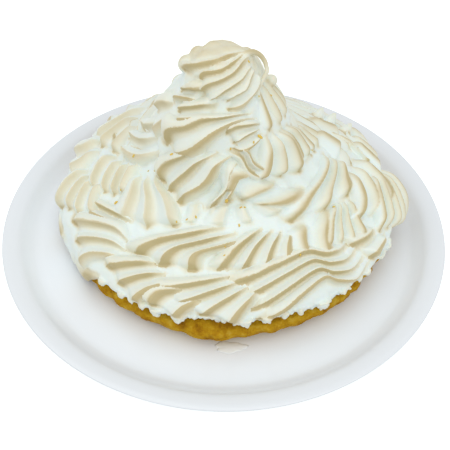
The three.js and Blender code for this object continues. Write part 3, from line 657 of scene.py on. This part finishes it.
# The fade of the piped looks by distance, and the depths of broad relief over which painted shade
# comes in, in mm.
PIPED_FADE, HOLLOW_SHADE_DEPTHS = (1.0, 2.0), (1.4, 3.4)
CREST_TOAST, CREST_RANGE = 0.35, (-0.1, 1.3)
BARE_TOP_TOAST, BARE_TOP_RANGE = 0.35, (124, 138)
HEIGHT_TOASTS = [(0.06, 65, 100), (0.2, 118, 138)]  # strength, and the heights it comes in over


def creases(points, size, seed):
    """Soft folds of 0 to 1 with sharp crests, from noise over a grid of points in mm."""
    shift = Vector((seed, 2 * seed, 0))
    flat = points.reshape(-1, 3)
    values = [1 - abs(noise.noise(Vector(p) / size + shift)) * 2 for p in flat]
    return np.array(values).reshape(points.shape[:-1])


def core_sheet():
    """The plain body under the strokes, as points and faces."""
    azimuths = np.linspace(-180, 180, CORE_COLUMNS, endpoint=False)
    arcs = np.linspace(0, SKIN_LENGTH - CORE_OPENING, CORE_ROWS)
    arc, azimuth = np.meshgrid(arcs, azimuths, indexing="ij")
    skin = skin_point(azimuth, arc, 0)
    folds = creases(skin, BROAD_FOLD, 3) + FINE_FOLD_SHARE * creases(skin, FINE_FOLD, 9)
    lift = CORE_LIFT + CAP_RISE * smoothstep(arc, CAP_FROM, CAP_TO)
    points = skin_point(azimuth, arc, lift + FOLD_DEPTH * (folds - FOLD_LEVEL)).reshape(-1, 3)
    foot = [HEM_AXIS_X, PIE_Y, SKIN_PROFILE[0][1]]
    peak = [PEAK_AXIS_X, PIE_Y, SKIN_PROFILE[-1][1] + CORE_LIFT + CAP_RISE]
    return np.concatenate([points, [foot, peak]]), fanned_faces(CORE_ROWS, CORE_COLUMNS)


def tube(centres, radii):
    """A closed round bar through centres in mm."""
    centres = np.asarray(centres, float)
    along = np.gradient(centres, axis=0)
    rings = []
    for centre, direction, radius in zip(centres, along, radii):
        turn = Vector(direction).to_track_quat("Z", "Y").to_matrix()
        for j in range(TUBE_SIDES):
            angle = 2 * math.pi * j / TUBE_SIDES
            outward = turn @ Vector((math.cos(angle), math.sin(angle), 0))
            rings.append(centre + np.array(outward) * radius)
    return np.array(rings), capped_faces(len(centres), TUBE_SIDES)


def hem_points():
    """Little hanging points along the hem, as closed tubes that end sharp."""
    parts = []
    pitch = (HEM_TO - HEM_FROM) / HEM_POINTS
    share = np.linspace(0, 1, POINT_ROWS)
    lift = HEM_ROOT_LIFT + HEM_RISE * share - HEM_FALL * share**2
    for i in range(HEM_POINTS):
        azimuth = HEM_FROM + pitch * (i + HEM_SCATTER * scatter(i + 500))
        size = (0.5 + 0.5 * scatter(i + 560)) ** HEM_POWER
        length, radius = (least + gain * size for least, gain in (HEM_LENGTHS, HEM_RADII))
        arc = HEM_ROOT_ARC - (HEM_ROOT_ARC - HEM_TIP_ARC) * length * share
        centres = skin_point(azimuth + HEM_TURN * scatter(i + 620) * share**2, arc, lift)
        parts.append(tube(centres, radius * (POINT_END - share) ** HEM_TAPER))
    return parts


def spikes():
    """The pointed ends along the back right edge, as closed tubes that end sharp."""
    share = np.linspace(0, 1, POINT_ROWS)
    radii = SPIKE_RADIUS * (POINT_END - share) ** SPIKE_TAPER
    lift = SPIKE_LENGTH * share - SPIKE_ROOT
    places = [skin_point(azimuth, arc - SPIKE_SLANT * share, lift) for azimuth, arc in SPIKES]
    return [tube(centres, radii) for centres in places]


def ball(x, y, z, radius):
    """A closed ball in mm."""
    points = []
    for i in range(BALL_ROWS):
        level = math.pi * (i + 0.5) / BALL_ROWS
        ring, height = radius * math.sin(level), z - radius * math.cos(level)
        for j in range(BALL_SIDES):
            angle = 2 * math.pi * j / BALL_SIDES
            points.append((x + ring * math.cos(angle), y + ring * math.sin(angle), height))
    return np.array(points), capped_faces(BALL_ROWS, BALL_SIDES)


def hook():
    """The curled strand at the right of the cap."""
    share = np.linspace(0, 1, HOOK_ROWS)
    place = catmull_rom(HOOK_STATIONS, share)
    centres = skin_point(place[:, 0], place[:, 1], place[:, 2])
    return tube(centres, HOOK_RADIUS * (HOOK_START - HOOK_TAPER * share))


def seated(points):
    """Points in mm, of which those inside the crust are moved up onto it."""
    radius = np.hypot(points[:, 0] - PIE_X, points[:, 1] - PIE_Y)
    azimuth = np.degrees(np.arctan2(points[:, 0] - PIE_X, PIE_Y - points[:, 1]))
    edge = CRUST_RADIUS
    inside = [0, RIM_INNER_RADIUS, edge - ROUND_IN, edge, edge + SEAT_MARGIN]
    level = [CRUST_TOP, CRUST_TOP, CRUST_TOP - SEAT_DROP, CRUST_TOP - ROUND_DOWN, NO_FLOOR]
    floor = np.interp(radius - bulge(azimuth), inside, level) + SEAT_GAP
    return np.stack([points[:, 0], points[:, 1], np.maximum(points[:, 2], floor)], axis=1)


def joined(name, parts):
    """One mesh object from several lots of points (in mm) and faces."""
    points, faces, offset = [], [], 0
    for part_points, part_faces in parts:
        points.append(part_points)
        faces += [tuple(i + offset for i in face) for face in part_faces]
        offset += len(part_points)
    return mesh_object(name, np.concatenate(points) * MM, faces)


def apply_modifiers(obj):
    """Gives an object the mesh that its modifiers make."""
    graph = bpy.context.evaluated_depsgraph_get()
    mesh = bpy.data.meshes.new_from_object(obj.evaluated_get(graph))
    obj.modifiers.clear()
    obj.data = mesh


def read(items, key, width, kind=float):
    """A property of a mesh's points or edges as an array."""
    values = np.empty(len(items) * width, dtype=kind)
    items.foreach_get(key, values)
    return values.reshape(-1, width)


class Surface:
    """The points, edges and normals of a mesh as arrays, in mm, with averages over neighbours."""

    def __init__(self, obj):
        self.points = read(obj.data.vertices, "co", 3) / MM
        self.normals = read(obj.data.vertices, "normal", 3)
        edges = read(obj.data.edges, "vertices", 2, np.int64)
        self.here = np.concatenate([edges[:, 0], edges[:, 1]])
        self.there = np.concatenate([edges[:, 1], edges[:, 0]])
        self.degree = np.bincount(self.here, minlength=len(self.points))

    def averaged(self, values, rounds):
        """Values after a number of rounds of averaging with their neighbours."""
        columns = values.reshape(len(values), -1).copy()
        for _ in range(rounds):
            for k in range(columns.shape[1]):
                total = np.bincount(self.here, columns[self.there, k], len(columns))
                columns[:, k] = (columns[:, k] + total) / (1 + self.degree)
        return columns.reshape(values.shape)

    def relief(self, rounds):
        """How far each point stands out from the surface around it, in mm."""
        return ((self.points - self.averaged(self.points, rounds)) * self.normals).sum(axis=1)

    def from_above(self, values):
        """Values carried down the slope by one edge, from each point's highest neighbour."""
        order = np.argsort(self.points[self.there, 2], kind="stable")
        highest = np.arange(len(values))
        highest[self.here[order]] = self.there[order]
        return values[highest]


def set_points(obj, points):
    """Moves a mesh's points to places in mm."""
    obj.data.vertices.foreach_set("co", (points * MM).ravel())
    obj.data.update()


def add_attribute(obj, name, values):
    """Writes a number for each point of a mesh, for its material to read."""
    attribute = obj.data.attributes.new(name, "FLOAT", "POINT")
    attribute.data.foreach_set("value", np.ascontiguousarray(values, dtype=np.float32))


def carried_over(surface, points, faces, values):
    """Each surface point's nearest place on the given faces, the distance and the values there."""
    tree = BVHTree.FromPolygons([Vector(p) for p in points], faces)
    corners = np.array(faces)
    found = [tree.find_nearest(point) for point in surface.points]
    places = np.array([hit[0] for hit in found])
    index = corners[[hit[2] for hit in found]]
    weight = 1 / (np.linalg.norm(points[index] - places[:, None], axis=2) + 0.05) ** 2
    mean = (values[index] * weight[..., None]).sum(axis=1) / weight.sum(axis=1)[:, None]
    return places, np.array([hit[3] for hit in found]), mean


def finish_meringue(obj, sheet_points, sheet_faces, sheet_looks):
    """Sharpens the remeshed surface on its sheets and writes what the material draws from."""
    surface = Surface(obj)
    places, distance, looks = carried_over(surface, sheet_points, sheet_faces, sheet_looks)
    on_sheet = distance < SNAP
    snapped = np.where(on_sheet[:, None], places, surface.averaged(surface.points, 2))
    surface.points = SHARPNESS * snapped + (1 - SHARPNESS) * surface.averaged(snapped, 1)
    azimuth = np.degrees(np.arctan2(surface.points[:, 0] - PIE_X, PIE_Y - surface.points[:, 1]))
    above = surface.points[:, 2] - TORN_FROM
    torn = hem_share(azimuth, above, TORN_SPAN, TORN_FADE, TORN_REACH)
    ragged = np.array([noise.noise(Vector(point) / TORN_GRAIN) for point in surface.points])
    surface.points += surface.normals * (TORN_DEPTH * torn * ragged)[:, None]
    surface.points[:, 2] = np.minimum(surface.points[:, 2], MERINGUE_TOP)
    set_points(obj, seated(surface.points))
    fine, broad = surface.relief(FINE_ROUNDS), surface.relief(BROAD_ROUNDS)
    stands = FINE_SHARE * fine / FINE_RELIEF + (1 - FINE_SHARE) * broad / BROAD_RELIEF
    crest = smoothstep(surface.averaged(stands, 2), *CREST_RANGE)
    height = surface.points[:, 2]
    bare = CREST_TOAST * crest + BARE_TOP_TOAST * smoothstep(height, *BARE_TOP_RANGE)
    piped = 1 - smoothstep(distance, *PIPED_FADE)
    toast = piped * looks[:, 0] + (1 - piped) * bare
    for strength, low, high in HEIGHT_TOASTS:
        toast = toast + strength * smoothstep(height, low, high)
    # Painted shade in the hollows, carried one edge down the slope.
    hollow_shade = smoothstep(-surface.from_above(broad), *HOLLOW_SHADE_DEPTHS)
    add_attribute(obj, "toast", surface.averaged(toast, 1))
    add_attribute(obj, "bands", surface.averaged(piped * looks[:, 1], 1))
    add_attribute(obj, "phase_x", looks[:, 2])
    add_attribute(obj, "phase_y", looks[:, 3])
    add_attribute(obj, "hollow_shade", surface.averaged(hollow_shade, 1))


def meringue():
    """The core, the strokes and the small forms, remeshed to one skin and sharpened."""
    parts, tops, top_faces, looks, count = [core_sheet()], [], [], [], 0
    for one in BACK_STROKES + FRONT_STROKES:
        upper, lower, look = stroke_sheets(one)
        parts.append(closed_sheet(upper, lower))
        tops.append(upper.reshape(-1, 3))
        top_faces += grid_faces(*upper.shape[:2], count)
        count += len(tops[-1])
        looks.append(look.reshape(-1, 4))
    knob = ball(*skin_point(*KNOB_PLACE), KNOB_RADIUS)
    parts += hem_points() + spikes() + [hook(), knob] + [ball(*one) for one in SCALLOPS]
    obj = joined("meringue_piped", parts)

    remesh = obj.modifiers.new("remesh", "REMESH")
    remesh.mode = "VOXEL"
    remesh.voxel_size = VOXEL * MM
    apply_modifiers(obj)
    finish_meringue(obj, np.concatenate(tops), top_faces, np.concatenate(looks))
    fewer = obj.modifiers.new("fewer", "DECIMATE")
    fewer.ratio = min(1.0, TRIANGLES / (2 * len(obj.data.polygons)))
    apply_modifiers(obj)
    obj.data.shade_smooth()
    return obj


# ---------------- sugar beads and syrup

BEADS = [
    # azimuth, arc, radius
    (-59, 60, 2.2), (-62, 68, 1.0), (-75, 88, 1.5), (-60, 90, 0.8), (-52, 95, 0.9),
    (-38, 112, 1.5), (-24, 72, 1.0), (-21, 77, 1.0), (-14, 79, 1.2), (-1, 64, 0.9),
    (1, 90, 2.3), (-1, 57, 0.9), (7, 124, 1.1), (8, 89, 1.1), (7, 76, 1.2),
    (13, 88, 1.0), (27, 126, 1.1), (34, 128, 2.2), (68, 169, 1.1), (50, 149, 0.8),
    (72, 143, 0.9), (51, 101, 1.3), (28, 51, 1.4), (82, 90, 0.8), (56, 64, 1.3),
]
# Shares of a bead's radius that show and stand out, and its stretch across, down and outwards.
BEAD_SHARE, BEAD_STAND, BEAD_LIFT = 0.55, 0.15, 2
BEAD_STRETCH = (0.85, 1.6, 0.7)
SYRUP_AZIMUTH, SYRUP_REACH, SYRUP_WIDTH = 0.5, 117.8, 9.5
SYRUP_LEVEL, SYRUP_DEPTH, SYRUP_SQUASH = 6.52, 0.5, 0.45
SYRUP_WAVE, SYRUP_RIPPLE = 0.14, 0.08
SYRUP_ROWS, SYRUP_SIDES = 10, 72


def beads(on):
    """Drops of caramelised sugar that weep out of the meringue."""
    corners = [v.co for v in on.data.vertices]
    tree = BVHTree.FromPolygons(corners, [tuple(f.vertices) for f in on.data.polygons])
    parts = []
    for azimuth, arc, radius in BEADS:
        place, normal, _, _ = tree.find_nearest(Vector(skin_point(azimuth, arc, BEAD_LIFT) * MM))
        points, faces = ball(0, 0, 0, radius * BEAD_SHARE)
        side = normal.cross(Vector((0, 0, 1))).normalized()
        across, down, out = BEAD_STRETCH
        axes = np.array([side * across, side.cross(normal) * down, normal * out])
        middle = np.array(place / MM + normal * BEAD_STAND * radius)
        parts.append((points @ axes + middle, faces))
    obj = joined("sugar_beads", parts)
    obj.data.materials.append(bead_material())
    return obj


def syrup():
    """The clear syrup that has run out under the crust at the front."""
    turn = math.radians(SYRUP_AZIMUTH)
    pool_x, pool_y = PIE_X + SYRUP_REACH * math.sin(turn), PIE_Y - SYRUP_REACH * math.cos(turn)
    points = []
    for i in range(SYRUP_ROWS):
        share = 1 - i / SYRUP_ROWS
        level = SYRUP_LEVEL + SYRUP_DEPTH * (1 - share**2)
        for j in range(SYRUP_SIDES):
            angle = 2 * math.pi * j / SYRUP_SIDES
            wave = 1 + SYRUP_WAVE * math.sin(3 * angle + 1) + SYRUP_RIPPLE * math.sin(7 * angle)
            x = pool_x + SYRUP_WIDTH * share * wave * math.cos(angle)
            y = pool_y + SYRUP_SQUASH * SYRUP_WIDTH * share * wave * math.sin(angle)
            points.append((x, y, level))
    obj = mesh_object("syrup", np.array(points) * MM, capped_faces(SYRUP_ROWS, SYRUP_SIDES))
    obj.data.materials.append(syrup_material())
    return obj


# ---------------- materials

# How dark a flute's band is across its width: place 0 is just past a crest, 1 is the next crest.
# The band is toast on the crests and painted shade just under each crest, where it faces down.
BAND_TOAST_AND_SHADE_LEVELS = [
    (0.0, 0.9), (0.07, 1.05), (0.22, 0.85), (0.42, 0.38),
    (0.6, 0.05), (0.85, 0.12), (0.97, 0.3), (1.0, 0.9),
]
# The band's edge wanders by a share of a flute's width, except next to the crest.
BAND_WANDER, WANDER_FROM = 0.08, 0.1
TOAST_MOTTLE = 0.25
# Colours are sRGB values of 0 to 255, and a ramp's come with their places on it.
# The ramp colours the toast and also the painted shade of the bands.
TOAST_AND_SHADE_TONES = [
    (0.0, (234, 244, 240)), (0.35, (233, 233, 214)), (0.7, (221, 212, 181)), (1.0, (198, 182, 136)),
]
# The golden colour of the painted shade in the hollows.
HOLLOW_SHADE_TONE = (214, 180, 96)
BAKED_TONES = [
    (0.42, (138, 91, 2)), (0.58, (169, 122, 6)), (0.74, (187, 144, 19)), (0.9, (200, 166, 58)),
]
FINE_BAKE = 0.35
BEAD_TONE, SYRUP_TONE = (226, 192, 88), (246, 250, 249)
# The glaze, and its painted shade on the lip.
GLAZE_TONE, LIP_SHADE_TONE = (242, 247, 251), (234, 238, 241)
BUMP_STRENGTH = 0.5
# Noises' cycles in a metre and detail, and the heights of bumps.
WANDER_NOISE, MOTTLE_NOISE = (90, 2), (60, 4)
MERINGUE_GRAIN, MERINGUE_BUMP = (450, 3), 0.0004
GLAZE_GRAIN, GLAZE_BUMP = (25, 2), 0.00008
BAKE_NOISE, FINE_BAKE_NOISE = (160, 5), (900, 3)
CRUMB_GRAIN, CRUMB_BUMP = (1400, 4), 0.0006


class Shader:
    """A material's node tree, with short calls for the nodes that the looks need."""

    def __init__(self, name):
        self.material = bpy.data.materials.new(name)
        self.material.use_nodes = True
        self.tree = self.material.node_tree
        self.surface = self.tree.nodes["Principled BSDF"]

    def node(self, kind, **settings):
        made = self.tree.nodes.new(kind)
        for key, value in settings.items():
            setattr(made, key, value)
        return made

    def link(self, output, target):
        self.tree.links.new(output, target)

    def attribute(self, name):
        return self.node("ShaderNodeAttribute", attribute_name=name).outputs["Fac"]

    def paint(self, color):
        self.link(color, self.surface.inputs["Base Color"])

    def finish(self, values):
        """Sets constants on the surface shader's own sockets."""
        for name, value in values.items():
            self.surface.inputs[name].default_value = value

    def noise(self, scale, detail):
        coordinates = self.node("ShaderNodeTexCoord").outputs["Object"]
        made = self.node("ShaderNodeTexNoise")
        made.inputs["Scale"].default_value = scale
        made.inputs["Detail"].default_value = detail
        self.link(coordinates, made.inputs["Vector"])
        return made.outputs["Fac"]

    def ramp(self, value, stops):
        """Linear colours between stops of a place and a colour."""
        made = self.node("ShaderNodeValToRGB")
        ramp = made.color_ramp
        while len(ramp.elements) < len(stops):
            ramp.elements.new(0.5)
        for element, (position, color) in zip(ramp.elements, stops):
            element.position = position
            element.color = (*color, 1)
        self.link(value, made.inputs["Fac"])
        return made.outputs["Color"]

    def math(self, operation, a, b=0):
        """One step of arithmetic on numbers or nodes' outputs."""
        made = self.node("ShaderNodeMath", operation=operation)
        for socket, value in zip(made.inputs, (a, b)):
            if isinstance(value, (int, float)):
                socket.default_value = value
            else:
                self.link(value, socket)
        return made.outputs["Value"]

    def swing(self, noise, amount):
        """A noise about 0, times an amount."""
        return self.math("MULTIPLY", self.math("SUBTRACT", self.noise(*noise), 0.5), amount)

    def mix(self, factor, a, b):
        """A mix of two colours or nodes' outputs."""
        made = self.node("ShaderNodeMix", data_type="RGBA")
        self.link(factor, made.inputs["Factor"])
        for socket, value in ((made.inputs["A"], a), (made.inputs["B"], b)):
            if isinstance(value, tuple):
                socket.default_value = (*value, 1)
            else:
                self.link(value, socket)
        return made.outputs["Result"]

    def bump(self, noise, distance):
        made = self.node("ShaderNodeBump")
        made.inputs["Distance"].default_value = distance
        made.inputs["Strength"].default_value = BUMP_STRENGTH
        self.link(self.noise(*noise), made.inputs["Height"])
        self.link(made.outputs["Normal"], self.surface.inputs["Normal"])


def srgb(color):
    """Linear colour of an sRGB colour of 0 to 255."""
    return tuple(((c / 255 + 0.055) / 1.055) ** 2.4 for c in color)


def tones(stops):
    """The stops of a ramp with their colours made linear."""
    return [(place, srgb(color)) for place, color in stops]


def meringue_material():
    shader = Shader("meringue")
    turn = shader.math("ARCTAN2", shader.attribute("phase_y"), shader.attribute("phase_x"))
    phase = shader.math("FRACT", shader.math("DIVIDE", turn, 2 * math.pi))
    wander = shader.swing(WANDER_NOISE, BAND_WANDER)
    inside = shader.math("GREATER_THAN", phase, WANDER_FROM)
    phase = shader.math("ADD", phase, shader.math("MULTIPLY", wander, inside))
    # The bands: toast on the crests and painted shade just under each crest.
    band = shader.ramp(phase, [(place, (level, level, level)) for place, level in BAND_TOAST_AND_SHADE_LEVELS])
    mottle = shader.swing(MOTTLE_NOISE, TOAST_MOTTLE)
    band_toast_and_shade = shader.math("MULTIPLY", shader.attribute("bands"), band)
    # This toast also holds the painted shade of the bands.
    toast = shader.math("ADD", shader.math("ADD", shader.attribute("toast"), band_toast_and_shade), mottle)
    toast_and_shade_color = shader.ramp(toast, tones(TOAST_AND_SHADE_TONES))
    # The hollows get painted shade in a golden tone.
    shader.paint(shader.mix(shader.attribute("hollow_shade"), toast_and_shade_color, srgb(HOLLOW_SHADE_TONE)))
    shader.finish({
        "Roughness": 0.48,
        "Subsurface Weight": 0.2,
        "Subsurface Radius": (1.0, 0.8, 0.6),
        "Subsurface Scale": 0.002,
    })
    shader.bump(MERINGUE_GRAIN, MERINGUE_BUMP)
    return shader.material


def bead_material():
    shader = Shader("sugar_bead")
    shader.finish({
        "Base Color": (*srgb(BEAD_TONE), 1),
        "Roughness": 0.12,
        "Subsurface Weight": 0.4,
        "Subsurface Radius": (1.0, 0.6, 0.2),
        "Subsurface Scale": 0.002,
    })
    return shader.material


def syrup_material():
    shader = Shader("syrup")
    shader.finish({"Base Color": (*srgb(SYRUP_TONE), 1), "Roughness": 0.03, "Coat Weight": 1.0})
    return shader.material


def plate_material():
    shader = Shader("plate")
    # The lip gets painted shade: a greyer glaze.
    shader.paint(shader.mix(shader.attribute("lip"), srgb(GLAZE_TONE), srgb(LIP_SHADE_TONE)))
    shader.finish({"Roughness": 0.16, "IOR": 1.5})
    shader.bump(GLAZE_GRAIN, GLAZE_BUMP)
    return shader.material


def crust_material():
    shader = Shader("crust")
    broad = shader.noise(*BAKE_NOISE)
    fine = shader.math("MULTIPLY", shader.noise(*FINE_BAKE_NOISE), FINE_BAKE)
    shader.paint(shader.ramp(shader.math("ADD", broad, fine), tones(BAKED_TONES)))
    shader.finish({"Roughness": 0.85, "Specular IOR Level": 0.2})
    shader.bump(CRUMB_GRAIN, CRUMB_BUMP)
    return shader.material


# ---------------- light and floor

# In metres, watts and linear colours.
LIGHT_TARGET = (0, 0, 0.05)
KEY_PLACE, KEY_SIZE, KEY_POWER = (-0.3, -0.24, 1.12), 1.6, 6.0
FILL_PLACE, FILL_SIZE, FILL_POWER = (0.7, -0.9, 0.8), 1.2, 3.0
SKY_COLOR, SKY_STRENGTH = (0.97, 0.985, 1.0, 1), 0.67
FLOOR_HALF_WIDTH = 3
FLOOR_COLOR, FLOOR_GLOW = (0.92, 0.97, 0.95, 1), 0.38


def area_light(name, place, size, power):
    """A square white light that faces the pie."""
    data = bpy.data.lights.new(name, "AREA")
    data.shape = "RECTANGLE"
    data.size = data.size_y = size
    data.energy = power
    obj = linked(name, data)
    obj.location = place
    towards = Vector(LIGHT_TARGET) - Vector(place)
    obj.rotation_euler = towards.to_track_quat("-Z", "Y").to_euler()


def studio():
    """Plain soft light and a plain pale floor, which glows a little so that it stays white."""
    world = bpy.data.worlds.new("studio")
    world.use_nodes = True
    background = world.node_tree.nodes["Background"]
    background.inputs["Color"].default_value = SKY_COLOR
    background.inputs["Strength"].default_value = SKY_STRENGTH
    bpy.context.scene.world = world
    area_light("key", KEY_PLACE, KEY_SIZE, KEY_POWER)
    area_light("fill", FILL_PLACE, FILL_SIZE, FILL_POWER)
    bpy.context.scene.view_settings.view_transform = "Standard"
    far = FLOOR_HALF_WIDTH
    corners = [(-far, -far, 0), (far, -far, 0), (far, far, 0), (-far, far, 0)]
    floor = mesh_object("floor", corners, [(0, 1, 2, 3)])
    shader = Shader("floor")
    shader.finish({
        "Base Color": FLOOR_COLOR,
        "Roughness": 0.8,
        "Emission Color": (1, 1, 1, 1),
        "Emission Strength": FLOOR_GLOW,
    })
    floor.data.materials.append(shader.material)
    floor.visible_diffuse = False


camera()
studio()
body = meringue()
body.data.materials.append(meringue_material())
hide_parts("meringue")
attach(body, "root")
for extra, slot in ((beads(body), "meringue"), (syrup(), "crust")):
    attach(extra, "root")
for piece, node in ((crust(), "crust"), (plate(), "plate")):
    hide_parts(node)
    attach(piece, "root")
